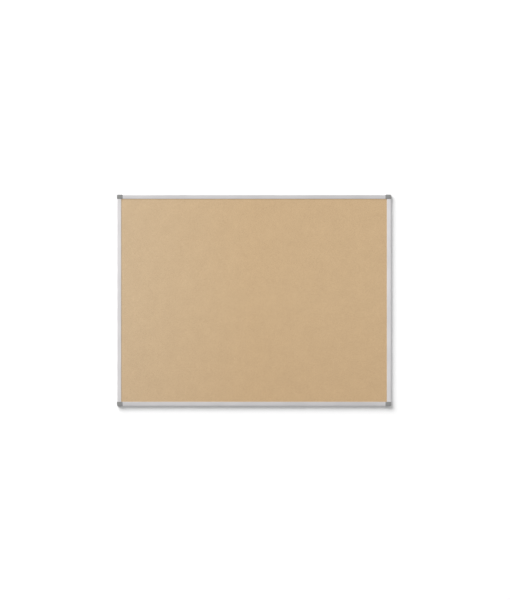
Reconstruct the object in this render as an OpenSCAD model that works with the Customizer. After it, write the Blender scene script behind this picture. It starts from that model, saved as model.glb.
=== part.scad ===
// Wall-hung cork bulletin board in an aluminium frame with plastic corners.
//
// Frame of the model: X runs to the viewer's right and Z runs up. The front faces -Y. The plane y = 0
// is the wall, and the origin is the middle of the four fixing holes on that plane.
//
// The board is a cork sheet on a softboard core with a paper backing. Four lengths of one extrusion
// hold its edges. A corner block joins two rails with a leg inside each, and takes the wall screw. A cap
// hides that screw and the sawn ends of the rails, and pulls straight off towards the front.
//
// A section of the extrusion uses u, the distance inwards from the board's outer face, and v, the
// distance forwards from the wall. A corner is drawn at the bottom left: x and y are then the
// distances inwards from the board's left and bottom faces, and z is the distance from the wall.

/* [Board] */
// Width over the frame, without the caps
board_w = 1200; // [300:5:2400]
// Height over the frame, without the caps
board_h = 925; // [200:5:1800]

/* [Rails] */
// Width of the rail that shows from the front
rail_face = 17.5; // [16:0.5:19.5]
// Depth of the rail, from the wall to the top of its crown
rail_depth = 16; // [14:0.5:24]
// Thickness of the extrusion's walls
rail_wall = 1.3; // [1.2:0.1:1.8]
// Radius of the crowned front face
crown_r = 400; // [100:10:600]
// Radius of the rail's outer front edge
edge_r = 0.8; // [0.6:0.1:2]

/* [Panel] */
// Thickness of the cork sheet
cork_t = 2; // [1:0.5:4]
// Thickness of the paper backing
backing_t = 0.5; // [0.3:0.1:1]

/* [Corners] */
// Length of a corner block along the top or bottom rail
block_w = 20; // [19:0.5:24]
// Length of a corner block along the side rail
block_h = 16; // [15:0.5:20]
// Length of a block's legs inside the rails
leg_len = 36; // [28:1:60]
// How far a cap laps over the sawn end of the top or bottom rail
cap_lap_x = 3.5; // [1:0.5:8]
// How far a cap laps over the sawn end of the side rail
cap_lap_z = 1.7; // [0.7:0.1:4]
// Thickness of a cap's skirts
cap_wall = 1.1; // [0.8:0.1:1.6]
// Radius of the board's outer corners
corner_r = 3; // [1:0.5:4]

/* [Fixings] */
// Radius of the hole for the wall screw
fixing_hole_r = 2.5; // [1.5:0.25:3]
// Radius of the well that hides the wall screw's head
screw_well_r = 4.6; // [3.5:0.1:5]
// Distance of a rail screw from the sawn end of its rail
rail_screw_in = 15; // [8:1:20]

/* [Hidden] */
$fn = 48;
eps = 0.01;         // overlap where one shape runs on into the next
past = 1;           // how far a cutting shape runs past what it cuts

aluminium = "#d3d3d2";
cork = "#cbae8a";
softboard = "#a98d68";
paper = "#b99a72";
plastic = "#8c8c8a";
steel = "#c2c4c6";

// Extrusion
chamber_u = rail_wall + 5.7;                        // inner side of the chamber that takes a block's leg
chamber_v = rail_depth - 1.6;                       // ceiling of that chamber
channel_u = chamber_u + 1.2;                        // floor of the channel that holds the panel's edge
lip_v = rail_depth - 1.5;                           // underside of the front lip, on the cork
lip_bead = 3;                                       // width of the bead along the lip's inner edge
channel_v = lip_v + 0.3;                            // ceiling of the channel behind that bead
flange_u = rail_face - 3;                           // inner edge of the back flange
lip_edge_r = 0.4;                                   // rounding of the lip's inner edge
crown_v = rail_depth - crown_r;                     // centre of the crown's arc
leg_mid_u = (rail_wall + chamber_u) / 2;            // middle of the chamber

// Panel
panel_gap = 0.1;                                    // play between the panel and the flange or the lip
panel_edge = channel_u + 0.5;                       // panel's edge, inwards from the frame's outer face
backing_v = rail_wall + panel_gap;                  // back of the paper backing
core_v = backing_v + backing_t;                     // back of the softboard
cork_v = lip_v - panel_gap - cork_t;                // back of the cork
notch_gap = 0.3;                                    // play between a block and the panel's notch

// Corner block
joint_gap = 0.1;                                    // between the block and the sawn ends
block_front = rail_depth - 2;                       // front of the block, under the cap
leg_gap = 0.15;                                     // play of a leg inside its chamber
leg_rib = 1.6;                                      // thickness of a leg's ribs
leg_web = 0.4;                                      // back of the leg's pockets, inwards from its middle
leg_flange = 2.05;                                  // thickness of a leg above and below its pockets
fixing_x = block_w / 2;                             // fixing hole, inwards from the left or right face
fixing_z = block_h / 2;                             // fixing hole, inwards from the top or bottom face
well_v = 5;                                         // floor of the screw well
slot_t = 2;                                         // pocket for a cap's tongue
slot_len = 8;
slot_v = 4;                                         // floor of that pocket
slot_in = 1.7;                                      // wall between the pocket and the block's end
slots_x = [slot_in, block_w - joint_gap - slot_in - slot_t];
slot_y = fixing_z - slot_len / 2;

// Cap
cap_gap = 0.1;                                      // play between a cap and the frame
cap_out = cap_wall + cap_gap;                       // how far a cap stands proud of the frame's sides
cap_x = block_w + cap_lap_x;                        // cap's inner end
cap_y = block_h + cap_lap_z;                        // cap's inner side
cap_foot = 0.8;                                     // the skirts stop this far short of the wall
cap_edge_r = 1.3;                                   // rounding round the cap's top
cap_top = rail_depth + cap_gap + 1.5;               // top of the cap
cap_inner_r = 1.5;                                  // radius of the cap's three inner corners
cap_dome = 0.2;                                     // rise of its top, from the rounding to the middle
cap_dome_in = 5;                                    // the dome's flat middle starts this far in
cap_ceiling = rail_depth - 0.6;                     // inside of the cap, over the block
cap_rim_v = lip_v + 0.1;                            // where the cap comes down to the cork
tongue_t = 1.6;
tongue_len = 7.4;
tongue_tip_v = slot_v + 1.5;
tongue_taper = [0.4, 1.5];                          // bevel of the tip: across it and along it

// Rail screw
screw_hole_r = 1.6;                                 // clearance hole in the rail
screw_sink_r = 2.75;                                // countersink at the rail's back
screw_sink_h = rail_wall - 0.1;                     // depth of that countersink
screw_head_r = 2.55;
screw_shank_r = 1.25;
screw_pilot_r = 1.3;
screw_end_v = 9.5;
screw_head_v = 0.15;                                // the head sits just below the back plane
screw_head_h = rail_wall;                           // the head sits in the countersink
screw_tip = 2;                                      // length of the point
screw_tip_r = 0.3;
screw_slot = [0.75, 3, 0.9];                        // one arm of the cross recess

// ---- Placing -------------------------------------------------------------------------------------

// Takes a shape drawn at the bottom left corner to its corner of the board.
module at_corner(right, top)
    mirror([right ? 1 : 0, 0, 0])
        mirror([0, 0, top ? 1 : 0])
            translate([-board_w / 2, 0, -board_h / 2])
                rotate([90, 0, 0])
                    children();

// A section run along the bottom edge, from x0 to x1.
module run_x(x0, x1)
    translate([x0, 0, 0]) rotate([90, 0, 90]) linear_extrude(x1 - x0) children();

// A section run up the left edge, from y0 to y1.
module run_y(y0, y1)
    translate([0, y1, 0]) rotate([90, 0, 0]) linear_extrude(y1 - y0) children();

// ---- Rails ---------------------------------------------------------------------------------------

// What a circle leaves of a corner: the waste outside an edge's rounding. The circle stands proud of the
// sides it rounds by eps, so that it crosses them.
module edge_waste(centre, r, towards)
    difference() {
        translate(centre)
            translate([towards < 0 ? -r - past : 0, 0])
                square([r + past, r + past]);
        translate(centre + [towards * eps, eps / 2]) circle(r);
    }

// Middle of the circle of radius r that touches the crown and a side at the given u.
function edge_centre(r, u, inwards) =
    let (cu = u + inwards * r)
    [cu, crown_v + sqrt(pow(crown_r - r, 2) - pow(rail_face / 2 - cu, 2))];

// Outer outline of the section, with its hollows filled. Growing it gives what a cap has to clear.
module rail_outline(grow = 0)
    difference() {
        intersection() {
            translate([rail_face / 2, crown_v]) circle(crown_r + grow, $fn = 240);
            translate([-grow, -grow]) square([rail_face + 2 * grow, rail_depth + 2 * grow]);
        }
        edge_waste(edge_centre(edge_r, 0, 1), edge_r + grow, -1);
        edge_waste(edge_centre(lip_edge_r, rail_face, -1), lip_edge_r + grow, 1);
    }

module rail_section()
    difference() {
        rail_outline();
        // chamber for the legs of the corner blocks
        translate([rail_wall, rail_wall])
            square([chamber_u - rail_wall, chamber_v - rail_wall]);
        // channel for the panel, stepped down to the bead on the cork
        translate([channel_u, rail_wall])
            square([rail_face - channel_u + past, lip_v - rail_wall]);
        translate([channel_u, rail_wall])
            square([rail_face - lip_bead - channel_u, channel_v - rail_wall]);
        // the back flange is shorter than the lip
        translate([flange_u, -past])
            square([rail_face - flange_u + past, rail_wall + 2 * past]);
    }

// Countersunk hole through the chamber's back wall.
module rail_screw_hole()
    union() {
        translate([0, 0, -past]) cylinder(r = screw_hole_r, h = rail_wall + 2 * past);
        translate([0, 0, -eps]) cylinder(r1 = screw_sink_r, r2 = screw_hole_r, h = screw_sink_h);
    }

module rail_x() {
    x0 = block_w;
    x1 = board_w - block_w;
    color(aluminium)
        difference() {
            run_x(x0, x1) rail_section();
            for (x = [x0 + rail_screw_in, x1 - rail_screw_in])
                translate([x, leg_mid_u, 0]) rail_screw_hole();
        }
}

module rail_y() {
    y0 = block_h;
    y1 = board_h - block_h;
    color(aluminium)
        difference() {
            run_y(y0, y1) rail_section();
            for (y = [y0 + rail_screw_in, y1 - rail_screw_in])
                translate([leg_mid_u, y, 0]) rail_screw_hole();
        }
}

// ---- Panel ---------------------------------------------------------------------------------------

// One layer of the panel, notched at its corners to clear the blocks.
module panel_layer(v, t) {
    w = board_w - 2 * panel_edge;
    h = board_h - 2 * panel_edge;
    notch = [block_w - panel_edge + notch_gap, block_h - panel_edge + notch_gap];
    translate([0, -v, 0])
        rotate([90, 0, 0])
            linear_extrude(t)
                difference() {
                    square([w, h], center = true);
                    for (sx = [-1, 1], sy = [-1, 1])
                        translate([sx * (w - notch.x + past) / 2, sy * (h - notch.y + past) / 2])
                            square([notch.x + past, notch.y + past], center = true);
                }
}

module cork_sheet() color(cork) panel_layer(cork_v, cork_t);

module softboard_core() color(softboard) panel_layer(core_v, cork_v - core_v);

module backing_sheet() color(paper) panel_layer(backing_v, backing_t);

// ---- Corner blocks -------------------------------------------------------------------------------

// Rectangle from the board's outer corner, with that corner rounded, all grown outwards by grow.
module corner_outline(x, y, grow = 0) {
    r = corner_r + grow;
    translate([corner_r, -grow]) square([x - corner_r + grow, y + 2 * grow]);
    translate([-grow, corner_r]) square([corner_r + grow + eps, y - corner_r + grow]);
    translate([corner_r, corner_r]) circle(r);
}

// Section of a leg, in the rail's own chamber.
module leg_section()
    translate([rail_wall + leg_gap, rail_wall + leg_gap])
        square([chamber_u - rail_wall - 2 * leg_gap, chamber_v - rail_wall - 2 * leg_gap]);

// Pockets that leave a leg as a back wall with ribs. from is where the leg leaves the block.
module leg_pockets(from) {
    count = 4;
    pitch = (leg_len - leg_rib) / count;
    back = leg_mid_u + leg_web;
    low = rail_wall + leg_gap + leg_flange;
    high = chamber_v - leg_gap - leg_flange;
    for (i = [0 : count - 1])
        if (abs(rail_screw_in - (i + 0.5) * pitch) > pitch / 2)
            translate([from + leg_rib + i * pitch, back, low])
                cube([pitch - leg_rib, chamber_u - back + past, high - low]);
}

module swap_xy() mirror([1, -1, 0]) children();

module corner_block()
    color(plastic)
        difference() {
            union() {
                linear_extrude(block_front)
                    corner_outline(block_w - joint_gap, block_h - joint_gap);
                run_x(block_w - past, block_w + leg_len) leg_section();
                run_y(block_h - past, block_h + leg_len) leg_section();
            }
            // wall screw: a plain hole, then a well for its head
            translate([fixing_x, fixing_z, -past])
                cylinder(r = fixing_hole_r, h = well_v + 2 * past);
            translate([fixing_x, fixing_z, well_v])
                cylinder(r = screw_well_r, h = block_front);
            // pockets for the cap's tongues
            for (x = slots_x)
                translate([x, slot_y, slot_v]) cube([slot_t, slot_len, block_front]);
            // pilot holes for the rail screws
            translate([block_w + rail_screw_in, leg_mid_u, 0])
                cylinder(r = screw_pilot_r, h = screw_end_v + past);
            translate([leg_mid_u, block_h + rail_screw_in, 0])
                cylinder(r = screw_pilot_r, h = screw_end_v + past);
            leg_pockets(block_w);
            swap_xy() leg_pockets(block_h);
        }

// ---- Caps ----------------------------------------------------------------------------------------

// Outline of a cap, drawn in by inset. Its outer corner follows the board's.
module cap_outline(inset) {
    r = corner_r + cap_out - inset;
    least_r = 0.2;
    s = max(cap_inner_r - inset, least_r);
    far_x = cap_x - inset - s;
    far_y = cap_y - inset - s;
    near = inset - cap_out + s;
    hull() {
        translate([corner_r, corner_r]) circle(r, $fn = 32);
        translate([far_x, near]) circle(s, $fn = 24);
        translate([near, far_y]) circle(s, $fn = 24);
        translate([far_x, far_y]) circle(s, $fn = 24);
    }
}

// A cap with nothing cut from it: straight sides, a rounded edge and a slightly domed top.
module cap_solid() {
    shoulder = cap_top - cap_edge_r - cap_dome;
    hull() {
        translate([0, 0, cap_foot])
            linear_extrude(shoulder - cap_foot) cap_outline(0);
        for (a = [30, 60, 90])
            translate([0, 0, shoulder])
                linear_extrude(cap_edge_r * sin(a)) cap_outline(cap_edge_r * (1 - cos(a)));
        translate([0, 0, shoulder])
            linear_extrude(cap_top - shoulder) cap_outline(cap_dome_in);
    }
}

// Friction-fit tongue, tapered at its tip.
module tongue()
    translate([0, slot_y + (slot_len + tongue_len) / 2, 0])
        rotate([90, 0, 0])
            linear_extrude(tongue_len)
                translate([(slot_t - tongue_t) / 2, 0])
                    polygon([
                        [0, cap_ceiling + eps],
                        [0, tongue_tip_v + tongue_taper.y],
                        [tongue_taper.x, tongue_tip_v],
                        [tongue_t - tongue_taper.x, tongue_tip_v],
                        [tongue_t, tongue_tip_v + tongue_taper.y],
                        [tongue_t, cap_ceiling + eps]
                    ]);

module cap()
    color(plastic)
        union() {
            difference() {
                cap_solid();
                // inside the skirts, down to the cork
                translate([0, 0, -past])
                    linear_extrude(cap_rim_v + past) corner_outline(cap_x + past, cap_y + past, cap_gap);
                // over the block
                translate([0, 0, -past])
                    linear_extrude(cap_ceiling + past) corner_outline(block_w, block_h, cap_gap);
                // over the sawn ends of the rails
                run_x(block_w - past, cap_x + past) rail_outline(cap_gap);
                run_y(block_h - past, cap_y + past) rail_outline(cap_gap);
            }
            for (x = slots_x)
                translate([x, 0, 0]) tongue();
        }

// ---- Rail screws ---------------------------------------------------------------------------------

module rail_screw() {
    neck_v = screw_head_v + screw_head_h;
    tip_v = screw_end_v - screw_tip;
    difference() {
        union() {
            translate([0, 0, screw_head_v])
                cylinder(r1 = screw_head_r, r2 = screw_shank_r, h = screw_head_h);
            translate([0, 0, neck_v - eps]) cylinder(r = screw_shank_r, h = tip_v - neck_v + 2 * eps);
            translate([0, 0, tip_v]) cylinder(r1 = screw_shank_r, r2 = screw_tip_r, h = screw_tip);
        }
        for (a = [0, 90])
            rotate([0, 0, a])
                translate([-screw_slot.x / 2, -screw_slot.y / 2, -past])
                    cube([screw_slot.x, screw_slot.y, screw_head_v + screw_slot.z + past]);
    }
}

module rail_screws()
    color(steel)
        for (right = [false, true], top = [false, true])
            at_corner(right, top) {
                translate([block_w + rail_screw_in, leg_mid_u, 0]) rail_screw();
                translate([leg_mid_u, block_h + rail_screw_in, 0]) rail_screw();
            }

// ---- Nodes ---------------------------------------------------------------------------------------

cork_sheet();
softboard_core();
backing_sheet();
at_corner(false, true) rail_x();  // rail_top
at_corner(false, false) rail_x();  // rail_bottom
at_corner(false, false) rail_y();  // rail_left
at_corner(true, false) rail_y();  // rail_right
at_corner(false, true) corner_block();  // block_top_left
at_corner(true, true) corner_block();  // block_top_right
at_corner(false, false) corner_block();  // block_bottom_left
at_corner(true, false) corner_block();  // block_bottom_right
at_corner(false, true) cap();  // cap_top_left
at_corner(true, true) cap();  // cap_top_right
at_corner(false, false) cap();  // cap_bottom_left
at_corner(true, false) cap();  // cap_bottom_right
rail_screws();
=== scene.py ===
"""Looks of the cork bulletin board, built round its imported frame.

Metres, in the frame's own axes: X to the viewer's right, Z up, the front faces -Y and y = 0 is the wall.
Corner pieces and sections are drawn in (p, q, v) at the bottom left: p inwards from the board's left
face, q inwards from its bottom face and v out from the wall. A rail's section is drawn in (u, v).
"""

import math

import bmesh
import bpy
from mathutils import Matrix, Vector, noise


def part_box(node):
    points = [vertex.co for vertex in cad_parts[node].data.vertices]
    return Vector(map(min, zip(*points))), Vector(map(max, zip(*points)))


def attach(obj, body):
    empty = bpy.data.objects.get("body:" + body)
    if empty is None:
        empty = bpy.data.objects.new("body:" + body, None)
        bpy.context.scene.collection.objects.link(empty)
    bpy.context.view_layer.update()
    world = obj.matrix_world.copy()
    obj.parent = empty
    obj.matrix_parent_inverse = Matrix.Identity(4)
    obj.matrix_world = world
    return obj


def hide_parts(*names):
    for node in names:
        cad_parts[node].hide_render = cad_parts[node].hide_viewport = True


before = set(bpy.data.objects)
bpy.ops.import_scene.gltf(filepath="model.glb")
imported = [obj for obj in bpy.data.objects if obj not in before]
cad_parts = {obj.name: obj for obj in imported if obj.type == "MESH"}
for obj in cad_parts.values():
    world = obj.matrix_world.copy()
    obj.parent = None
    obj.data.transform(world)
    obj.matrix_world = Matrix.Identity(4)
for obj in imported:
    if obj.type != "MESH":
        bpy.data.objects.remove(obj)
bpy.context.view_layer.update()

MM = 0.001
PAST = 1 * MM       # how far a cutter runs past what it cuts

# ---- Places, from the frame ------------------------------------------------------------------------

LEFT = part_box("rail_left")[0].x
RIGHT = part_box("rail_right")[1].x
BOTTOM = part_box("rail_bottom")[0].z
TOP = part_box("rail_top")[1].z
RAIL_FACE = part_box("rail_left")[1].x - LEFT
RAIL_DEPTH = -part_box("rail_left")[0].y
BLOCK_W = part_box("rail_bottom")[0].x - LEFT
BLOCK_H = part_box("rail_left")[0].z - BOTTOM
CORNERS = {
    "bottom_left": (False, False),
    "bottom_right": (True, False),
    "top_left": (False, True),
    "top_right": (True, True),
}

# ---- Sizes -----------------------------------------------------------------------------------------

# Extrusion
WALL = 1.3 * MM
CROWN_R = 400 * MM
EDGE_R = 0.8 * MM
LIP_EDGE_R = 0.4 * MM
CHAMBER_U = WALL + 5.7 * MM
CHAMBER_V = RAIL_DEPTH - 1.6 * MM
CHANNEL_U = CHAMBER_U + 1.2 * MM
LIP_V = RAIL_DEPTH - 1.5 * MM
CHANNEL_V = LIP_V + 0.3 * MM
LIP_BEAD = 3 * MM
FLANGE_U = RAIL_FACE - 3 * MM
SECTION_R = 0.3 * MM
BEAD_STEP_R = 0.12 * MM
LEG_MID_U = (WALL + CHAMBER_U) / 2

# Corner blocks
CORNER_R = 3 * MM
GAP = 0.1 * MM
FIXING_R = 2.5 * MM
WELL_R = 4.6 * MM
WELL_V = 5 * MM
SLOT_T = 2 * MM
SLOT_LEN = 8 * MM
SLOT_V = 4 * MM
SLOTS_P = (1.7 * MM, BLOCK_W - GAP - 1.7 * MM - SLOT_T)
LEG_GAP = 0.15 * MM
LEG_RIB = 1.6 * MM
LEG_FLANGE = 2.05 * MM
LEG_WEB = 0.4 * MM

# Panel
NOTCH_GAP = 0.3 * MM

# Rail screws
SCREW_IN = 15 * MM
SCREW_HEAD_V = 0.15 * MM
SCREW_SINK_R = 2.75 * MM
SCREW_SINK_H = WALL - 0.1 * MM
SCREW_HOLE_R = 1.6 * MM
PILOT_R = 1.3 * MM
PILOT_END = 10.5 * MM


# ---- Outlines --------------------------------------------------------------------------------------

def arc(centre, radius, start, end, steps):
    """Points on a circle from one angle to another, both ends included."""
    angles = [start + (end - start) * i / steps for i in range(steps + 1)]
    return [(centre[0] + radius * math.cos(a), centre[1] + radius * math.sin(a)) for a in angles]


def fillet(before, corner, after, radius, steps=4):
    """The arc that rounds a corner of a straight-sided outline."""
    here = Vector(corner)
    back = (Vector(before) - here).normalized()
    ahead = (Vector(after) - here).normalized()
    half = back.angle(ahead) / 2
    centre = here + (back + ahead).normalized() * radius / math.sin(half)
    first = here + back * radius / math.tan(half) - centre
    last = here + ahead * radius / math.tan(half) - centre
    turn = math.atan2(first.x * last.y - first.y * last.x, first.dot(last))
    start = math.atan2(first.y, first.x)
    return arc(centre, radius, start, start + turn, steps)


def rounded(corners, radius, steps=4):
    """A closed outline through the corners, each rounded with the same radius."""
    count = len(corners)
    points = []
    for i, corner in enumerate(corners):
        points += fillet(corners[i - 1], corner, corners[(i + 1) % count], radius, steps)
    return points


def rectangle(low, high):
    return [(low[0], low[1]), (high[0], low[1]), (high[0], high[1]), (low[0], high[1])]


def corner_box(low, far, outer_r, inner_r, side_steps=1):
    """Plan of a corner piece. Its outer corner has its own radius, and the rest share one."""
    arcs = [
        arc((low + outer_r, low + outer_r), outer_r, math.pi, 1.5 * math.pi, 10),
        arc((far[0] - inner_r, low + inner_r), inner_r, 1.5 * math.pi, 2 * math.pi, 8),
        arc((far[0] - inner_r, far[1] - inner_r), inner_r, 0, 0.5 * math.pi, 8),
        arc((low + inner_r, far[1] - inner_r), inner_r, 0.5 * math.pi, math.pi, 8),
    ]
    points = []
    for i, corner in enumerate(arcs):
        here, after = Vector(corner[-1]), Vector(arcs[(i + 1) % 4][0])
        points += corner
        points += [tuple(here.lerp(after, k / side_steps)) for k in range(1, side_steps)]
    return points


def softened(low, high, radius, steps=4):
    """Insets and levels of a solid's rings from low to high, with its two edges rounded."""
    turns = [math.radians(90 * i / steps) for i in range(steps + 1)]
    start = [(radius * (1 - math.sin(turn)), low + radius * (1 - math.cos(turn))) for turn in turns]
    end = [(inset, high + low - level) for inset, level in reversed(start)]
    return start + end


def rail_front(grow=0.0):
    """The rail's front from the lip's inner edge over the crown to the outer edge, grown outwards."""
    crown = (RAIL_FACE / 2, RAIL_DEPTH - CROWN_R)

    def edge(u, radius):
        rise = math.sqrt((CROWN_R - radius) ** 2 - (RAIL_FACE / 2 - u) ** 2)
        return u, crown[1] + rise

    lip = edge(RAIL_FACE - LIP_EDGE_R, LIP_EDGE_R)
    outer = edge(EDGE_R, EDGE_R)
    lip_turn = math.atan2(lip[1] - crown[1], lip[0] - crown[0])
    outer_turn = math.atan2(outer[1] - crown[1], outer[0] - crown[0])
    points = arc(lip, LIP_EDGE_R + grow, 0, lip_turn, 6)
    points += arc(crown, CROWN_R + grow, lip_turn, outer_turn, 24)[1:-1]
    points += arc(outer, EDGE_R + grow, outer_turn, math.pi, 10)
    return points


def rail_envelope(grow):
    """The rail's outline with its hollows filled: what a cap has to clear."""
    return [(-grow, -grow), (RAIL_FACE + grow, -grow)] + rail_front(grow)


def rail_loops():
    """The extrusion's section: its outline, and the chamber for the corner blocks' legs."""
    corners = [
        (0, 0),
        (FLANGE_U, 0),
        (FLANGE_U, WALL),
        (CHANNEL_U, WALL),
        (CHANNEL_U, CHANNEL_V),
        (RAIL_FACE - LIP_BEAD, CHANNEL_V),
        (RAIL_FACE - LIP_BEAD, LIP_V),
        (RAIL_FACE, LIP_V),
    ]
    front = rail_front()
    chain = [front[-1]] + corners + [front[0]]
    outline = []
    for before, corner, after in zip(chain, chain[1:], chain[2:]):
        at_bead = corner[1] > CHANNEL_V - MM
        outline += fillet(before, corner, after, BEAD_STEP_R if at_bead else SECTION_R)
    chamber = rounded(rectangle((WALL, WALL), (CHAMBER_U, CHAMBER_V)), SECTION_R)
    return [outline + front, chamber]


# ---- Mesh helpers ----------------------------------------------------------------------------------

def finished(bm, name, sharp=30):
    """Turns a bmesh into a linked object with smooth faces and sharp edges above an angle in degrees."""
    bmesh.ops.recalc_face_normals(bm, faces=bm.faces)
    mesh = bpy.data.meshes.new(name)
    bm.to_mesh(mesh)
    bm.free()
    obj = bpy.data.objects.new(name, mesh)
    bpy.context.scene.collection.objects.link(obj)
    shade(obj, sharp)
    return obj


def shade(obj, sharp=30):
    mesh = obj.data
    mesh.polygons.foreach_set("use_smooth", [True] * len(mesh.polygons))
    mesh.set_sharp_from_angle(angle=math.radians(sharp))


def even_normals(obj):
    """Lets large flat faces keep their own shading next to narrow rounded ones."""
    modifier = obj.modifiers.new("even_normals", "WEIGHTED_NORMAL")
    modifier.keep_sharp = True


def ring(bm, points):
    return [bm.verts.new(point) for point in points]


def bridge(bm, ring_a, ring_b):
    """Quads between two closed rings of the same length."""
    count = len(ring_a)
    for i in range(count):
        j = (i + 1) % count
        bm.faces.new((ring_a[i], ring_a[j], ring_b[j], ring_b[i]))


def loft(bm, rings, closed_start=True, closed_end=True):
    """A skin over rings of points, with a face at each end."""
    made = [ring(bm, points) for points in rings]
    for a, b in zip(made, made[1:]):
        bridge(bm, a, b)
    if closed_start:
        bm.faces.new(made[0])
    if closed_end:
        bm.faces.new(made[-1])
    return made


def prism(name, outline, low, high, place):
    """An outline run from low to high. place(a, b, s) gives a point's position."""
    bm = bmesh.new()
    loft(bm, [[place(a, b, s) for a, b in outline] for s in (low, high)])
    return finished(bm, name)


def carve(obj, tool, operation="DIFFERENCE"):
    """Applies a boolean and deletes the tool."""
    modifier = obj.modifiers.new("carve", "BOOLEAN")
    modifier.operation = operation
    modifier.solver = "EXACT"
    modifier.object = tool
    graph = bpy.context.evaluated_depsgraph_get()
    carved = bpy.data.meshes.new_from_object(obj.evaluated_get(graph))
    obj.modifiers.remove(modifier)
    obj.data = carved
    bpy.data.objects.remove(tool)


def split_faces(obj):
    """Splits faces of more than four sides into triangles, so that none comes out with no area."""
    bm = bmesh.new()
    bm.from_mesh(obj.data)
    many_sided = [face for face in bm.faces if len(face.verts) > 4]
    bmesh.ops.triangulate(bm, faces=many_sided, ngon_method="BEAUTY")
    bm.to_mesh(obj.data)
    bm.free()


def turned(at, profile, steps=32):
    """A round cutter that stands on the wall's plane. The profile lists (radius, v)."""
    bm = bmesh.new()
    rings = []
    for radius, v in profile:
        circle = arc(at, radius, 0, 2 * math.pi, steps)[:-1]
        rings.append([(a, b, v) for a, b in circle])
    loft(bm, rings)
    return finished(bm, "cutter")


def along_x(u, v, s):
    return Vector((s, u, v))


def along_y(u, v, s):
    return Vector((u, s, v))


def along_v(a, b, s):
    return Vector((a, b, s))


def corner_matrix(right, top):
    """Takes (p, q, v) at the bottom left to a place at one of the four corners."""
    x, x_dir = (RIGHT, -1) if right else (LEFT, 1)
    z, z_dir = (TOP, -1) if top else (BOTTOM, 1)
    return Matrix(((x_dir, 0, 0, x), (0, 0, -1, 0), (0, z_dir, 0, z), (0, 0, 0, 1)))


def put(obj, matrix):
    """Moves a mesh's points, and turns its faces over again if the move mirrored them."""
    obj.data.transform(matrix)
    if matrix.determinant() < 0:
        obj.data.flip_normals()


def at_corners(kind, pattern):
    """Copies a pattern to the four corners, and yields each corner's name with its copy."""
    for corner, (right, top) in CORNERS.items():
        obj = bpy.data.objects.new(f"{kind}_{corner}_visual", pattern.data.copy())
        bpy.context.scene.collection.objects.link(obj)
        put(obj, corner_matrix(right, top))
        shade(obj)
        even_normals(obj)
        yield corner, obj
    bpy.data.objects.remove(pattern)


def add_piece(obj, material, body, slot, *nodes):
    """Gives a finished piece its material and its body, and hides the frame nodes that it stands for."""
    obj.data.materials.clear()
    obj.data.materials.append(material)
    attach(obj, body)
    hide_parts(*nodes)
    return obj


# ---- Node helpers ----------------------------------------------------------------------------------

class Nodes:
    """A node tree that is emptied and then built up from here."""

    def __init__(self, tree):
        self.tree = tree
        self.tree.nodes.clear()

    def node(self, kind, **settings):
        made = self.tree.nodes.new(kind)
        for key, value in settings.items():
            setattr(made, key, value)
        return made

    def link(self, source, target):
        self.tree.links.new(source, target)

    def feed(self, target, value):
        """Links a socket, or sets a plain value."""
        if isinstance(value, bpy.types.NodeSocket):
            self.link(value, target)
        else:
            target.default_value = value

    def maths(self, operation, a, b=0.0):
        made = self.node("ShaderNodeMath", operation=operation)
        self.feed(made.inputs[0], a)
        self.feed(made.inputs[1], b)
        return made.outputs[0]

    def spread(self, value, low, high, from_low=0.0, from_high=1.0):
        """Maps a value from one range to another, clamped."""
        made = self.node("ShaderNodeMapRange")
        self.feed(made.inputs["Value"], value)
        made.inputs["From Min"].default_value = from_low
        made.inputs["From Max"].default_value = from_high
        made.inputs["To Min"].default_value = low
        made.inputs["To Max"].default_value = high
        return made.outputs["Result"]

    def either(self, choice, a, b):
        """Shader a where choice is 0, and shader b where it is 1."""
        made = self.node("ShaderNodeMixShader")
        self.link(choice, made.inputs[0])
        self.link(a, made.inputs[1])
        self.link(b, made.inputs[2])
        return made.outputs[0]


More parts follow.
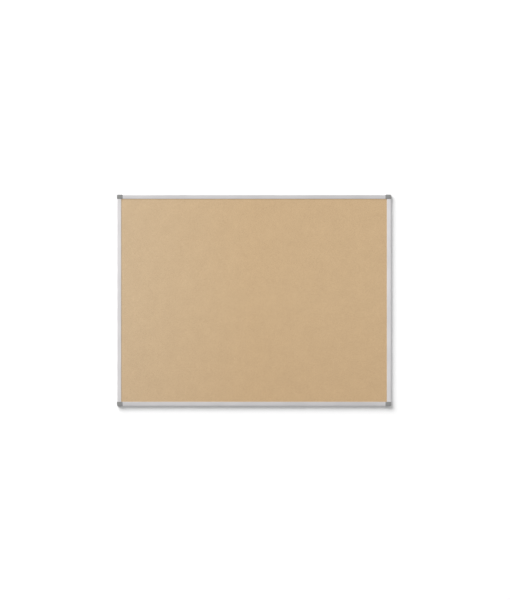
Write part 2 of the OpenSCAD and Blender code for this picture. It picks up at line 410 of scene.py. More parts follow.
class Shader(Nodes):
    """A material's nodes, with a Principled BSDF as its surface."""

    def __init__(self, name):
        self.material = bpy.data.materials.new(name)
        self.material.use_nodes = True
        super().__init__(self.material.node_tree)
        self.surface = self.node("ShaderNodeBsdfPrincipled")
        self.output = self.node("ShaderNodeOutputMaterial")
        self.link(self.surface.outputs["BSDF"], self.output.inputs["Surface"])

    def set(self, **inputs):
        """Feeds the surface's inputs, named with underscores for spaces."""
        for key, value in inputs.items():
            self.feed(self.surface.inputs[key.replace("_", " ")], value)

    def stretched(self, at, by):
        """A position scaled along each axis. A pattern is drawn out along an axis of less than 1."""
        mapping = self.node("ShaderNodeMapping")
        mapping.inputs["Scale"].default_value = by
        self.link(at, mapping.inputs["Vector"])
        return mapping.outputs["Vector"]

    def place(self, stretch=(1, 1, 1)):
        """Position in the frame, in metres, scaled along each axis."""
        return self.stretched(self.node("ShaderNodeTexCoord").outputs["Object"], stretch)

    def noise(self, at, size, detail=2.0, rough=0.5):
        """Noise from 0 to 1 with features of about the given size in metres."""
        made = self.node("ShaderNodeTexNoise")
        self.link(at, made.inputs["Vector"])
        made.inputs["Scale"].default_value = 1 / size
        made.inputs["Detail"].default_value = detail
        made.inputs["Roughness"].default_value = rough
        return made.outputs["Fac"]

    def cells(self, at, size, output="Color", feature="F1"):
        made = self.node("ShaderNodeTexVoronoi", feature=feature)
        self.link(at, made.inputs["Vector"])
        made.inputs["Scale"].default_value = 1 / size
        return made.outputs[output]

    def channel(self, colour, name="Red"):
        made = self.node("ShaderNodeSeparateColor")
        self.link(colour, made.inputs["Color"])
        return made.outputs[name]

    def vary(self, noise_value, low, high, reach=0.2):
        """Maps noise, which mostly keeps within reach of 0.5, to run from low to high."""
        return self.spread(noise_value, low, high, 0.5 - reach, 0.5 + reach)

    def tint(self, value, *stops):
        """A colour ramp: each stop is (position, (r, g, b))."""
        made = self.node("ShaderNodeValToRGB")
        ramp = made.color_ramp
        while len(ramp.elements) < len(stops):
            ramp.elements.new(0.5)
        for element, (position, colour) in zip(ramp.elements, stops):
            element.position = position
            element.color = (*colour, 1)
        self.feed(made.inputs["Fac"], value)
        return made.outputs["Color"]

    def mix(self, factor, a, b, blend="MIX"):
        """Colour a with colour b over it. Sockets 0, 6 and 7 are the factor and the two colours."""
        made = self.node("ShaderNodeMix", data_type="RGBA", blend_type=blend)
        self.feed(made.inputs[0], factor)
        self.feed(made.inputs[6], a)
        self.feed(made.inputs[7], b)
        return made.outputs[2]

    def times(self, colour, by, amount=1.0):
        return self.mix(amount, colour, by, "MULTIPLY")

    def shift(self, at, by, amount):
        """Moves a position by a colour noise, so that cells lose their straight sides."""
        wander = self.node("ShaderNodeTexNoise")
        self.link(at, wander.inputs["Vector"])
        wander.inputs["Scale"].default_value = 1 / by
        centred = self.node("ShaderNodeVectorMath", operation="SUBTRACT")
        self.link(wander.outputs["Color"], centred.inputs[0])
        centred.inputs[1].default_value = (0.5, 0.5, 0.5)
        scaled = self.node("ShaderNodeVectorMath", operation="SCALE")
        self.link(centred.outputs[0], scaled.inputs[0])
        scaled.inputs["Scale"].default_value = amount
        total = self.node("ShaderNodeVectorMath", operation="ADD")
        self.link(at, total.inputs[0])
        self.link(scaled.outputs[0], total.inputs[1])
        return total.outputs[0]

    def bump(self, height, distance, strength=1.0, normal=None):
        """Relief of the given depth in metres."""
        made = self.node("ShaderNodeBump")
        made.inputs["Strength"].default_value = strength
        made.inputs["Distance"].default_value = distance
        self.link(height, made.inputs["Height"])
        if normal is not None:
            self.link(normal, made.inputs["Normal"])
        return made.outputs["Normal"]


# ---- Materials -------------------------------------------------------------------------------------

def cork_bark(s, coarse, fine):
    """Where the granules are dark bark: a few of each size."""
    of_coarse = s.spread(s.channel(coarse, "Green"), 0.5, 0, 0.010, 0.020)
    of_fine = s.spread(s.channel(fine, "Green"), 1, 0, 0.025, 0.045)
    return s.maths("MAXIMUM", of_coarse, of_fine)


def cork_tone(s, at):
    """The sheet's slow drift of brightness, its clouds and its single specks."""
    drift = s.vary(s.noise(at, 55 * MM, 4), 0.98, 1.02)
    cloud = s.vary(s.noise(at, 9 * MM, 3), 0.985, 1.015)
    speck = s.vary(s.noise(at, 0.35 * MM, 3), 0.93, 1.07)
    return s.maths("MULTIPLY", s.maths("MULTIPLY", drift, cloud), speck)


def cork_painted_light(s, at, colour):
    """Painted light and shade in the colour: paler towards the sheet's left side, browner and darker low
    down.
    """
    # paler is painted light towards the left side, browner is painted shade low down
    paler = (1.02, 1.07, 1.16, 1)
    browner = (0.96, 0.945, 0.93, 1)
    split = s.node("ShaderNodeSeparateXYZ")
    s.link(at, split.inputs[0])
    colour = s.times(colour, paler, s.spread(split.outputs["X"], 1, 0, LEFT, 0))
    return s.times(colour, browner, s.spread(split.outputs["Z"], 1, 0, BOTTOM, 0))


def cork_pits(s, at, bent, granule_size):
    """Pits along some of the seams between granules."""
    seam = s.spread(s.cells(bent, granule_size, "Distance", "DISTANCE_TO_EDGE"), 1, 0, 0.01, 0.16)
    pitted = s.spread(s.noise(at, 1.7 * MM, 3, 0.6), 0, 1, 0.55, 0.68)
    return s.maths("MULTIPLY", seam, pitted)


def cork_material():
    """Pressed and sanded cork granules, 1 to 2 mm across, with dark bark flecks and pits in painted shade.
    """
    granule_size = 1.45 * MM
    crumb_size = 0.75 * MM
    bark_brown = (0.22, 0.125, 0.065, 1)
    pit_shade_brown = (0.17, 0.10, 0.055, 1)
    s = Shader("cork")
    at = s.place()
    bent = s.shift(at, 1.1 * MM, 1.0 * MM)
    coarse = s.cells(bent, granule_size)
    fine = s.cells(bent, crumb_size)
    shade = s.channel(s.mix(0.62, coarse, fine), "Red")
    colour = s.tint(
        shade,
        (0.12, (0.445, 0.303, 0.169)),
        (0.40, (0.489, 0.344, 0.197)),
        (0.70, (0.516, 0.366, 0.213)),
        (0.92, (0.550, 0.397, 0.236)),
    )
    colour = s.mix(s.maths("MULTIPLY", cork_bark(s, coarse, fine), 0.5), colour, bark_brown)
    # painted light towards the sheet's left side and painted shade low down
    colour = cork_painted_light(s, at, s.times(colour, cork_tone(s, at)))
    pit = cork_pits(s, at, bent, granule_size)
    # painted shade: the pits are darkened towards brown
    colour = s.mix(s.maths("MULTIPLY", pit, 0.36), colour, pit_shade_brown)
    fuzz = s.noise(at, 0.25 * MM, 3)
    height = s.maths("SUBTRACT", s.maths("MULTIPLY", fuzz, 0.4), pit)
    height = s.maths("ADD", height, s.maths("MULTIPLY", shade, 0.35))
    s.set(
        Base_Color=colour,
        Roughness=s.spread(shade, 0.94, 0.82),
        Specular_IOR_Level=0.25,
        Normal=s.bump(height, 0.12 * MM, 0.7),
    )
    return s.material


def drawn_out(along, by):
    """A stretch that draws a pattern out along one axis, 0 for X or 2 for Z."""
    stretch = [1.0, 1.0, 1.0]
    stretch[along] = by
    return stretch


def aluminium_material(name, along, tone):
    """Satin silver anodised extrusion, with die lines along one axis, 0 for X or 2 for Z."""
    s = Shader(name)
    at = s.place()
    lines_at = s.place(drawn_out(along, 0.004))
    die_lines = s.noise(lines_at, 0.55 * MM, 3, 0.65)
    broad_lines = s.noise(lines_at, 3.5 * MM, 2)
    bloom = s.noise(at, 70 * MM, 3)
    # scuffs from handling: short, sparse and along the rail
    scuffs_at = s.place(drawn_out(along, 0.10))
    scuffs = s.spread(s.noise(scuffs_at, 1.2 * MM, 2), 0, 1, 0.68, 0.78)
    mottle = s.maths("ADD", s.vary(die_lines, -0.02, 0.02), s.vary(bloom, 0.985, 1.015))
    metal = s.times((tone, 0.98 * tone, 0.985 * tone, 1), mottle)
    rough = s.maths("ADD", s.vary(die_lines, 0.46, 0.54), s.maths("MULTIPLY", scuffs, 0.09))
    rough = s.maths("ADD", rough, s.vary(bloom, -0.02, 0.02))
    # the sheen spreads across the die lines
    tangent = s.node("ShaderNodeCombineXYZ")
    tangent.inputs[2 - along].default_value = 1.0
    relief = s.bump(s.maths("ADD", die_lines, broad_lines), 0.006 * MM, 0.5)
    grain = s.bump(s.noise(at, 0.12 * MM, 2), 0.003 * MM, 0.4, relief)
    s.set(
        Base_Color=metal,
        Metallic=1.0,
        Roughness=rough,
        Anisotropic=0.25,
        Tangent=tangent.outputs[0],
        Coat_Weight=0.12,
        Coat_Roughness=0.35,
        Normal=grain,
    )
    return s.material


def edge_wear(s, radius):
    """1 on edges sharper than the radius, and 0 on open faces."""
    bevel = s.node("ShaderNodeBevel", samples=4)
    bevel.inputs["Radius"].default_value = radius
    facing = s.node("ShaderNodeVectorMath", operation="DOT_PRODUCT")
    s.link(bevel.outputs[0], facing.inputs[0])
    s.link(s.node("ShaderNodeNewGeometry").outputs["Normal"], facing.inputs[1])
    return s.spread(facing.outputs["Value"], 1, 0, 0.86, 0.995)


def plastic_material(name, colour, rough):
    """Moulded ABS with a spark-eroded skin, rubbed a little paler and smoother along its edges."""
    worn = [1.9 * channel for channel in colour]
    s = Shader(name)
    at = s.place()
    patchy = s.vary(s.noise(at, 2.5 * MM, 3), 0.35, 1, 0.15)
    rubbed = s.maths("MULTIPLY", edge_wear(s, 0.5 * MM), patchy)
    flow = s.vary(s.noise(at, 7 * MM, 3), 0.965, 1.035)
    shade = s.times((*colour, 1), flow)
    shade = s.mix(s.maths("MULTIPLY", rubbed, 0.30), shade, (*worn, 1))
    skin = s.noise(at, 0.4 * MM, 3, 0.6)
    skin_rough = s.vary(skin, rough - 0.05, rough + 0.07)
    s.set(
        Base_Color=shade,
        Roughness=s.maths("SUBTRACT", skin_rough, s.maths("MULTIPLY", rubbed, 0.12)),
        Specular_IOR_Level=0.5,
        Normal=s.bump(skin, 0.05 * MM, 0.8),
    )
    return s.material


def paper_material():
    """Brown kraft paper: long fibres both ways, darker flecks and faint glue-roller bands."""
    fleck_brown = (0.16, 0.095, 0.05, 1)
    s = Shader("kraft_paper")
    at = s.place()
    bent = s.shift(at, 6 * MM, 5 * MM)
    fibre_x = s.noise(s.stretched(bent, (0.09, 1, 1)), 0.7 * MM, 3, 0.6)
    fibre_z = s.noise(s.stretched(bent, (1, 1, 0.14)), 0.8 * MM, 3, 0.6)
    fibres = s.maths("ADD", s.maths("MULTIPLY", fibre_x, 0.65), s.maths("MULTIPLY", fibre_z, 0.35))
    colour = s.tint(
        fibres,
        (0.34, (0.275, 0.178, 0.096)),
        (0.50, (0.345, 0.232, 0.130)),
        (0.66, (0.415, 0.290, 0.172)),
    )
    flecks = s.spread(s.channel(s.cells(bent, 0.9 * MM), "Blue"), 0.5, 0, 0.006, 0.012)
    colour = s.mix(flecks, colour, fleck_brown)
    bands = s.vary(s.noise(s.place((0.15, 1, 1)), 60 * MM, 2), 0.97, 1.03, 0.15)
    cloud = s.vary(s.noise(at, 18 * MM, 4), 0.95, 1.05)
    colour = s.times(colour, s.maths("MULTIPLY", bands, cloud))
    s.set(
        Base_Color=colour,
        Roughness=s.vary(fibres, 0.9, 0.72, 0.15),
        Specular_IOR_Level=0.3,
        Normal=s.bump(fibres, 0.05 * MM, 0.6),
    )
    return s.material


def softboard_material():
    """Pressed wood fibre, loose and hairy where it is sawn."""
    s = Shader("softboard")
    at = s.shift(s.place(), 3 * MM, 3 * MM)
    strands = s.noise(at, 1.3 * MM, 4, 0.7)
    chips = s.channel(s.cells(at, 3.2 * MM), "Red")
    colour = s.tint(
        s.maths("ADD", s.maths("MULTIPLY", strands, 0.75), s.maths("MULTIPLY", chips, 0.25)),
        (0.30, (0.215, 0.130, 0.062)),
        (0.50, (0.375, 0.250, 0.132)),
        (0.70, (0.520, 0.380, 0.225)),
    )
    s.set(
        Base_Color=colour,
        Roughness=0.95,
        Specular_IOR_Level=0.15,
        Normal=s.bump(strands, 0.4 * MM, 0.8),
    )
    return s.material


def zinc_material():
    """Bright zinc plating, slightly blue, with duller patches."""
    s = Shader("zinc_steel")
    at = s.place()
    patches = s.noise(at, 1.6 * MM, 3)
    s.set(
        Base_Color=s.tint(patches, (0.35, (0.58, 0.60, 0.63)), (0.65, (0.74, 0.76, 0.79))),
        Metallic=1.0,
        Roughness=s.vary(patches, 0.24, 0.42, 0.15),
        Normal=s.bump(s.noise(at, 0.2 * MM, 2), 0.01 * MM, 0.5),
    )
    return s.material


# ---- Panel -----------------------------------------------------------------------------------------

def grid_lines(low, high, step, extra):
    """Places of a grid's lines from low to high, with a line through every place in extra."""
    stops = sorted([low, high, *extra])
    lines = []
    for a, b in zip(stops, stops[1:]):
        count = max(1, round((b - a) / step))
        lines += [a + (b - a) * i / count for i in range(count)]
    return lines + [high]


def smooth(t):
    t = min(1.0, max(0.0, t))
    return t * t * (3 - 2 * t)


def waver(x, z, size):
    """Smooth noise from -1 to 1 over the sheet's plane."""
    return noise.noise(Vector((x / size, 11.3, z / size)))


def lip_distance(x, z):
    """How far a point of the sheet is inside the frame's lips. Negative under a lip."""
    return min(x - LEFT, RIGHT - x, z - BOTTOM, TOP - z) - RAIL_FACE


def cork_relief(x, z):
    """Cork pinched at the lips, swelling a little clear of them, with faint unevenness."""
    inside = lip_distance(x, z)
    swell = 0.14 * MM * smooth(inside / (9 * MM))
    uneven = 0.045 * MM * waver(x, z, 75 * MM) + 0.025 * MM * waver(x, z, 16 * MM)
    return swell + uneven * smooth(inside / (5 * MM))


def paper_relief(x, z):
    """Faint cockle in the glued paper, flat under the flanges."""
    inside = lip_distance(x, z)
    cockle = 0.10 * MM * waver(x, z, 95 * MM) + 0.05 * MM * waver(x, z * 2.5, 30 * MM)
    deepest = -0.05 * MM
    return max(deepest, cockle) * smooth(inside / (12 * MM))


def no_relief(x, z):
    return 0.0


def close_behind(bm, y):
    """Turns an open sheet into a solid: its rim runs back to the plane y and is closed there."""
    rim = [edge for edge in bm.edges if edge.is_boundary]
    skirt = bmesh.ops.extrude_edge_only(bm, edges=rim)["geom"]
    for item in skirt:
        if isinstance(item, bmesh.types.BMVert):
            item.co.y = y
    far_edges = [item for item in skirt if isinstance(item, bmesh.types.BMEdge)]
    bmesh.ops.contextual_create(bm, geom=far_edges)


def panel_sheet(name, step, relief, from_back=False):
    """One layer of the panel as a closed mesh, with relief on its front, or on its back."""
    low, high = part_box(name)
    notch_x = BLOCK_W + NOTCH_GAP
    notch_z = BLOCK_H + NOTCH_GAP
    xs = grid_lines(low.x, high.x, step, [LEFT + notch_x, RIGHT - notch_x])
    zs = grid_lines(low.z, high.z, step, [BOTTOM + notch_z, TOP - notch_z])
    shown, hidden, out = (high.y, low.y, 1) if from_back else (low.y, high.y, -1)

    def in_notch(x, z):
        return min(x - LEFT, RIGHT - x) < notch_x and min(z - BOTTOM, TOP - z) < notch_z

    bm = bmesh.new()
    verts = {}

    def vert(i, j):
        if (i, j) not in verts:
            x, z = xs[i], zs[j]
            verts[i, j] = bm.verts.new((x, shown + out * relief(x, z), z))
        return verts[i, j]

    for i in range(len(xs) - 1):
        for j in range(len(zs) - 1):
            if not in_notch((xs[i] + xs[i + 1]) / 2, (zs[j] + zs[j + 1]) / 2):
                bm.faces.new((vert(i, j), vert(i + 1, j), vert(i + 1, j + 1), vert(i, j + 1)))
    close_behind(bm, hidden)
    return finished(bm, name + "_visual")


def panel():
    """The three glued layers. Only the cork needs a fine grid."""
    cork = panel_sheet("cork_sheet", 4 * MM, cork_relief)
    add_piece(cork, cork_material(), "board", "cork", "cork_sheet")
    core = panel_sheet("softboard_core", 20 * MM, no_relief)
    add_piece(core, softboard_material(), "board", "softboard", "softboard_core")
    paper = panel_sheet("backing_sheet", 10 * MM, paper_relief, from_back=True)
    add_piece(paper, paper_material(), "board", "kraft_paper", "backing_sheet")


# ---- Rails -----------------------------------------------------------------------------------------

def rail_blank(name, place, ends):
    """The extrusion cut to length, with its two ends closed round the chamber."""
    bm = bmesh.new()
    rims = [[], []]
    for outline in rail_loops():
        made = loft(bm, [[place(u, v, s) for u, v in outline] for s in ends], False, False)
        for rim, verts in zip(rims, made):
            rim += [bm.edges.get((vert, verts[i - 1])) for i, vert in enumerate(verts)]
    for rim in rims:
        bmesh.ops.triangle_fill(bm, edges=rim, use_beauty=True)
    return finished(bm, name + "_visual")


def rail(name, material, horizontal=False, right=False, top=False):
    """One rail, drawn at the bottom or the left and then put at its own side."""
    place = along_x if horizontal else along_y
    ends = (BLOCK_W, RIGHT - LEFT - BLOCK_W) if horizontal else (BLOCK_H, TOP - BOTTOM - BLOCK_H)
    obj = rail_blank(name, place, ends)
    countersunk = [
        (SCREW_SINK_R, -PAST),
        (SCREW_SINK_R, 0),
        (SCREW_HOLE_R, SCREW_SINK_H),
        (SCREW_HOLE_R, WALL + PAST),
    ]
    for s in (ends[0] + SCREW_IN, ends[1] - SCREW_IN):
        spot = place(LEG_MID_U, 0, s)
        carve(obj, turned((spot.x, spot.y), countersunk))
    put(obj, corner_matrix(right, top))
    shade(obj)
    even_normals(obj)
    add_piece(obj, material, "board", "anodised_aluminium", name)


def rails():
    """Four rails of one metal in two tones: painted light on the side rails, painted shade on the other
    two.
    """
    # lit and shaded copies of one metal: painted shade on the rails across, painted light on the upright
    # ones
    across = aluminium_material("aluminium_across_painted_shade", along=0, tone=0.68)
    upright = aluminium_material("aluminium_upright_painted_light", along=2, tone=0.84)
    rail("rail_bottom", across, horizontal=True)
    rail("rail_top", across, horizontal=True, top=True)
    rail("rail_left", upright)
    rail("rail_right", upright, right=True)


# ---- Corner blocks ---------------------------------------------------------------------------------

BLOCK_LOW, BLOCK_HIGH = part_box("block_bottom_left")
BLOCK_FRONT = -BLOCK_LOW.y
LEG_LEN = BLOCK_HIGH.x - LEFT - BLOCK_W


def block_body():
    """The moulded corner, with softened edges."""
    edge_r = 0.4 * MM
    inner_r = 0.6 * MM
    bm = bmesh.new()
    rings = []
    for inset, v in softened(0, BLOCK_FRONT, edge_r):
        far = (BLOCK_W - GAP - inset, BLOCK_H - GAP - inset)
        plan = corner_box(inset, far, CORNER_R - inset, inner_r - inset)
        rings.append([(a, b, v) for a, b in plan])
    loft(bm, rings)
    return finished(bm, "block")


def leg(place, start):
    """A leg in a rail's chamber. It grows out of the block, and its tip is tapered to lead it in."""
    root, taper, narrow = 1 * MM, 2 * MM, 0.6 * MM
    low = WALL + LEG_GAP
    bm = bmesh.new()
    rings = []
    for inset, s in ((0, start - root), (0, start + LEG_LEN - taper), (narrow, start + LEG_LEN)):
        far = (CHAMBER_U - LEG_GAP - inset, CHAMBER_V - LEG_GAP - inset)
        section = rounded(rectangle((low + inset, low + inset), far), SECTION_R)
        rings.append([place(u, v, s) for u, v in section])
    loft(bm, rings)
    return finished(bm, "leg")


def leg_pockets(place, start):
    """Cutters for the pockets between a leg's ribs. The stretch that takes the rail screw stays solid."""
    count = 4
    pitch = (LEG_LEN - LEG_RIB) / count
    low = (LEG_MID_U + LEG_WEB, WALL + LEG_GAP + LEG_FLANGE)
    high = (CHAMBER_U + PAST, CHAMBER_V - LEG_GAP - LEG_FLANGE)
    section = rounded(rectangle(low, high), SECTION_R)
    for i in range(count):
        if abs(SCREW_IN - (i + 0.5) * pitch) > pitch / 2:
            s = start + i * pitch
            yield prism("cutter", section, s + LEG_RIB, s + pitch, place)


def block_shape():
    """The finished corner block at the bottom left, in (p, q, v)."""
    obj = block_body()
    for place, start in ((along_x, BLOCK_W), (along_y, BLOCK_H)):
        carve(obj, leg(place, start), "UNION")
        for cutter in leg_pockets(place, start):
            carve(obj, cutter)
        spot = place(LEG_MID_U, 0, start + SCREW_IN)
        carve(obj, turned((spot.x, spot.y), [(PILOT_R, -PAST), (PILOT_R, PILOT_END)]))
    lead = 0.3 * MM
    fixing = [
        (FIXING_R + lead, -PAST),
        (FIXING_R + lead, 0),
        (FIXING_R, lead),
        (FIXING_R, WELL_V),
        (WELL_R, WELL_V),
        (WELL_R, BLOCK_FRONT - lead),
        (WELL_R + lead, BLOCK_FRONT),
        (WELL_R + lead, BLOCK_FRONT + PAST),
    ]
    carve(obj, turned((BLOCK_W / 2, BLOCK_H / 2), fixing, 48))
    slot_q = (BLOCK_H - SLOT_LEN) / 2
    for p in SLOTS_P:
        plan = rounded(rectangle((p, slot_q), (p + SLOT_T, slot_q + SLOT_LEN)), SECTION_R)
        carve(obj, prism("cutter", plan, SLOT_V, BLOCK_FRONT + PAST, along_v))
    return obj


def blocks():
    material = plastic_material("block_plastic", colour=(0.19, 0.19, 0.19), rough=0.45)
    for corner, obj in at_corners("block", block_shape()):
        add_piece(obj, material, "board", "block_plastic", f"block_{corner}")


# ---- Caps ------------------------------------------------------------------------------------------

CAP_LOW, CAP_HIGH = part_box("cap_bottom_left")
CAP_PROUD = LEFT - CAP_LOW.x
CAP_X = CAP_HIGH.x - LEFT
CAP_Y = CAP_HIGH.z - BOTTOM
CAP_FOOT = -CAP_HIGH.y
CAP_TOP = -CAP_LOW.y
CAP_EDGE_R = 1.3 * MM
CAP_INNER_R = 1.5 * MM
CAP_DOME = 0.2 * MM
CAP_CEILING = RAIL_DEPTH - 0.6 * MM
CAP_RIM = LIP_V + 0.1 * MM
CAP_FOOT_R = 0.15 * MM


def cap_outline(inset):
    """The cap's plan, drawn in by inset."""
    least_r = 0.25 * MM
    inner_r = max(CAP_INNER_R - 0.8 * inset, least_r)
    far = (CAP_X - inset, CAP_Y - inset)
    return corner_box(inset - CAP_PROUD, far, CORNER_R + CAP_PROUD - inset, inner_r, 6)


def cap_front(spot):
    """How far the front of the cap is from the wall. It swells smoothly from its rounded edge."""
    middle = ((CAP_X - CAP_PROUD) / 2, (CAP_Y - CAP_PROUD) / 2)
    half = ((CAP_X + CAP_PROUD) / 2 - CAP_EDGE_R, (CAP_Y + CAP_PROUD) / 2 - CAP_EDGE_R)
    swell = 1.0
    for here, centre, reach in zip(spot, middle, half):
        swell *= max(0.0, 1 - ((here - centre) / reach) ** 2)
    return CAP_TOP - CAP_DOME * (1 - swell * swell)


def cap_rings():
    """The cap's skin as rings, from its foot over the rounded edge to just short of its middle."""
    shoulder = CAP_TOP - CAP_DOME - CAP_EDGE_R
    edge_steps, front_steps = 8, 10
    levels = [(CAP_FOOT_R, CAP_FOOT), (0, CAP_FOOT + CAP_FOOT_R), (0, shoulder)]
    for i in range(1, edge_steps + 1):
        turn = math.radians(90 * i / edge_steps)
        levels.append((CAP_EDGE_R * (1 - math.cos(turn)), shoulder + CAP_EDGE_R * math.sin(turn)))
    rings = [[(a, b, v) for a, b in cap_outline(inset)] for inset, v in levels]
    centre = Vector(((CAP_X - CAP_PROUD) / 2, (CAP_Y - CAP_PROUD) / 2))
    edge = cap_outline(CAP_EDGE_R)
    for i in range(1, front_steps):
        spots = [centre.lerp(Vector(point), 1 - i / front_steps) for point in edge]
        rings.append([(*spot, cap_front(spot)) for spot in spots])
    return rings, (*centre, CAP_TOP)


def cap_skin():
    """The cap before anything is cut from it."""
    rings, middle = cap_rings()
    bm = bmesh.new()
    last = loft(bm, rings, closed_end=False)[-1]
    peak = bm.verts.new(middle)
    for i, vert in enumerate(last):
        bm.faces.new((last[i - 1], vert, peak))
    return finished(bm, "cap")


def corner_plan(x, y, grow):
    """A rectangle from the board's corner, with that corner rounded, grown outwards."""
    radius = CORNER_R + grow
    turn = arc((CORNER_R, CORNER_R), radius, math.pi, 1.5 * math.pi, 12)
    return turn + [(x, -grow), (x, y), (-grow, y)]


def tongue(p):
    """A friction-fit tongue with a tapered tip, that goes into the corner block's pocket."""
    thick, length = 1.6 * MM, 7.4 * MM
    tip, taper, narrow = 5.5 * MM, 1.5 * MM, 0.4 * MM
    root, edge_r = 0.2 * MM, 0.2 * MM
    p0 = p + (SLOT_T - thick) / 2
    q0 = BLOCK_H / 2 - length / 2
    bm = bmesh.new()
    rings = []
    for inset, v in ((narrow, tip), (0, tip + taper), (0, CAP_CEILING + root)):
        plan = rectangle((p0 + inset, q0 + inset), (p0 + thick - inset, q0 + length - inset))
        rings.append([(a, b, v) for a, b in rounded(plan, edge_r, 2)])
    loft(bm, rings)
    return finished(bm, "tongue")


def cap_shape():
    """The finished cap at the bottom left, in (p, q, v)."""
    past = 3 * PAST
    obj = cap_skin()
    skirts = corner_plan(CAP_X + past, CAP_Y + past, GAP)
    carve(obj, prism("cutter", skirts, -past, CAP_RIM, along_v))
    over_block = corner_plan(BLOCK_W + GAP, BLOCK_H + GAP, GAP)
    carve(obj, prism("cutter", over_block, -past, CAP_CEILING, along_v))
    carve(obj, prism("cutter", rail_envelope(GAP), BLOCK_W - past, CAP_X + past, along_x))
    carve(obj, prism("cutter", rail_envelope(GAP), BLOCK_H - past, CAP_Y + past, along_y))
    for p in SLOTS_P:
        carve(obj, tongue(p), "UNION")
    split_faces(obj)
    return obj


def caps():
    material = plastic_material("cap_plastic", colour=(0.205, 0.205, 0.202), rough=0.50)
    for corner, obj in at_corners("cap", cap_shape()):
        add_piece(obj, material, f"cap_{corner}_body", "cap_plastic", f"cap_{corner}")


# ---- Rail screws -----------------------------------------------------------------------------------

def thread_rings(around):
    """Rings of a screw's shank, from under its head to its point, with a ridge that winds round it."""
    crest, root = 1.25 * MM, 0.95 * MM
    neck_v, tip_v, end_v = 1.6 * MM, 8.0 * MM, 9.6 * MM
    pitch, per_pitch = 1.0 * MM, 6
    ridge, point = 0.28, 0.15
    count = round((end_v - neck_v) / pitch * per_pitch)
    for i in range(count + 1):
        v = neck_v + (end_v - neck_v) * i / count
        taper = 1 - (1 - point) * smooth((v - tip_v) / (end_v - tip_v))
        start = smooth((v - neck_v) / pitch)
        points = []
        for k in range(around):
            turn = 2 * math.pi * k / around
            phase = (v / pitch - k / around) % 1.0
            thread = max(0.0, 1 - abs(phase - 0.5) / ridge)
            radius = (root + (crest - root) * (thread * start + (1 - start))) * taper
            points.append((radius * math.cos(turn), radius * math.sin(turn), v))
        yield points


def screw_shape():
    """A small countersunk screw in (p, q, v), with a rolled thread and a cross recess in its head."""
    head_r, head_rim = 2.48 * MM, 0.12 * MM
    around = 24
    head = arc((0, 0), head_r, 0, 2 * math.pi, around)[:-1]
    rings = [[(a, b, v) for a, b in head] for v in (SCREW_HEAD_V, SCREW_HEAD_V + head_rim)]
    bm = bmesh.new()
    loft(bm, rings + list(thread_rings(around)))
    obj = finished(bm, "screw")
    carve(obj, recess_cutter())
    return obj


def recess_cutter():
    """A tapered cross. Each level has the reach of its arms, half their width and its depth in the head."""
    def cross(arm, half):
        return [(arm, half), (half, half), (half, arm), (-half, arm), (-half, half), (-arm, half),
                (-arm, -half), (-half, -half), (-half, -arm), (half, -arm), (half, -half), (arm, -half)]

    levels = ((1.6, 0.42, -0.3), (1.45, 0.36, 0), (0.55, 0.22, 1.2))
    bm = bmesh.new()
    rings = []
    for arm, half, depth in levels:
        rings.append([(a * MM, b * MM, SCREW_HEAD_V + depth * MM) for a, b in cross(arm, half)])
    loft(bm, rings)
    return finished(bm, "cutter")


def rail_screws():
    """All eight screws as one piece, each turned a little differently."""
    pattern = screw_shape()
    bm = bmesh.new()
    spots = ((BLOCK_W + SCREW_IN, LEG_MID_U), (LEG_MID_U, BLOCK_H + SCREW_IN))
    for index, (right, top) in enumerate(CORNERS.values()):
        for side, (p, q) in enumerate(spots):
            twist = Matrix.Rotation(math.radians(37 * index + 61 * side), 4, "Z")
            copy = bpy.data.objects.new("screw", pattern.data.copy())
            put(copy, corner_matrix(right, top) @ Matrix.Translation((p, q, 0)) @ twist)
            bm.from_mesh(copy.data)
            bpy.data.objects.remove(copy)
    bpy.data.objects.remove(pattern)
    obj = finished(bm, "rail_screws_visual")
    even_normals(obj)
    add_piece(obj, zinc_material(), "board", "zinc_steel", "rail_screws")


# ---- Stage -----------------------------------------------------------------------------------------

def wall_paint():
    """Matt white. The camera sees through the wall from behind, and light doesn't."""
    s = Shader("wall_paint")
    s.set(Base_Color=(0.91, 0.91, 0.91, 1), Roughness=0.9, Specular_IOR_Level=0.0)
    clear = s.node("ShaderNodeBsdfTransparent")
    behind = s.node("ShaderNodeNewGeometry").outputs["Backfacing"]
    seen = s.node("ShaderNodeLightPath").outputs["Is Camera Ray"]
    seen_from_behind = s.maths("MULTIPLY", behind, seen)
    surface = s.either(seen_from_behind, s.surface.outputs["BSDF"], clear.outputs[0])
    s.link(surface, s.output.inputs["Surface"])
    return s.material


def wall():
    """A plain wall just behind the board, open behind it so that light reaches the board's back."""
    reach = 3.0
    gap = 0.05 * MM
    tuck = 0.35 * MM
    hole = rounded(rectangle((LEFT + tuck, BOTTOM + tuck), (RIGHT - tuck, TOP - tuck)), CORNER_R)
    bm = bmesh.new()
    edges = []
    for outline in (rectangle((-reach, -reach), (reach, reach)), hole):
        verts = ring(bm, [(x, gap, z) for x, z in outline])
        edges += [bm.edges.new((verts[i - 1], vert)) for i, vert in enumerate(verts)]
    bmesh.ops.triangle_fill(bm, edges=edges, use_beauty=True)
    obj = finished(bm, "wall")
    if obj.data.polygons[0].normal.y > 0:
        obj.data.flip_normals()
    obj.data.materials.append(wall_paint())


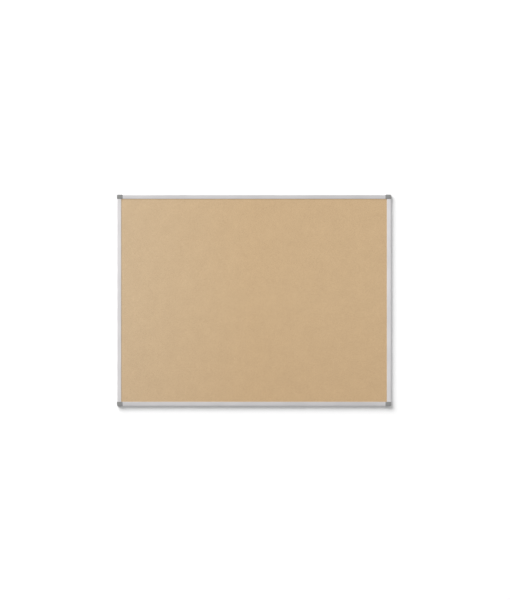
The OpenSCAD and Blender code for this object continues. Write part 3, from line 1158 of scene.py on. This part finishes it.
def soft_box(name, position, size, power):
    """A square soft light aimed at the board and out of the camera's sight."""
    lamp = bpy.data.lights.new(name, "AREA")
    lamp.size = size
    lamp.energy = power
    obj = bpy.data.objects.new(name, lamp)
    obj.location = position
    obj.rotation_mode = "QUATERNION"
    obj.rotation_quaternion = (-Vector(position)).to_track_quat("-Z", "Y")
    obj.visible_camera = False
    bpy.context.scene.collection.objects.link(obj)


def surroundings():
    """White to the camera, and for everything else a soft white that is darker below than above."""
    below, above = 0.56, 0.79
    world = bpy.data.worlds.new("studio")
    world.use_nodes = True
    bpy.context.scene.world = world
    w = Nodes(world.node_tree)
    split = w.node("ShaderNodeSeparateXYZ")
    w.link(w.node("ShaderNodeTexCoord").outputs["Generated"], split.inputs[0])
    graded = w.node("ShaderNodeBackground")
    graded.inputs["Color"].default_value = (0.8, 0.8, 0.8, 1)
    w.link(w.spread(split.outputs["Z"], below, above, -1, 1), graded.inputs["Strength"])
    white = w.node("ShaderNodeBackground")
    white.inputs["Color"].default_value = (1, 1, 1, 1)
    seen = w.node("ShaderNodeLightPath").outputs["Is Camera Ray"]
    both = w.either(seen, graded.outputs[0], white.outputs[0])
    w.link(both, w.node("ShaderNodeOutputWorld").inputs["Surface"])


def studio():
    """A key light up on the left, and two more behind for the board's back."""
    surroundings()
    soft_box("key", (-12.3, -12.0, 17.3), size=20.0, power=9900)
    soft_box("rear_left", (-6.0, 6.0, 7.0), size=6.0, power=480)
    soft_box("rear_right", (6.0, 6.0, 6.0), size=6.0, power=320)
    bpy.context.scene.view_settings.view_transform = "Standard"


def camera():
    """Square on, from far enough away that nothing converges."""
    view_width = 2.2385
    aim = Vector((4.4 * MM, 0, 1.5 * MM))
    image_shape = 510 / 600
    data = bpy.data.cameras.new("camera")
    data.lens = 200
    data.sensor_width = 36
    data.clip_end = 100
    distance = view_width / (data.sensor_width * image_shape) * data.lens
    obj = bpy.data.objects.new("camera", data)
    obj.location = aim + Vector((0, -distance, 0))
    obj.rotation_euler = (math.radians(90), 0, 0)
    bpy.context.scene.collection.objects.link(obj)
    bpy.context.scene.camera = obj


# ---- Build -----------------------------------------------------------------------------------------

rails()
blocks()
caps()
panel()
rail_screws()
wall()
studio()
camera()
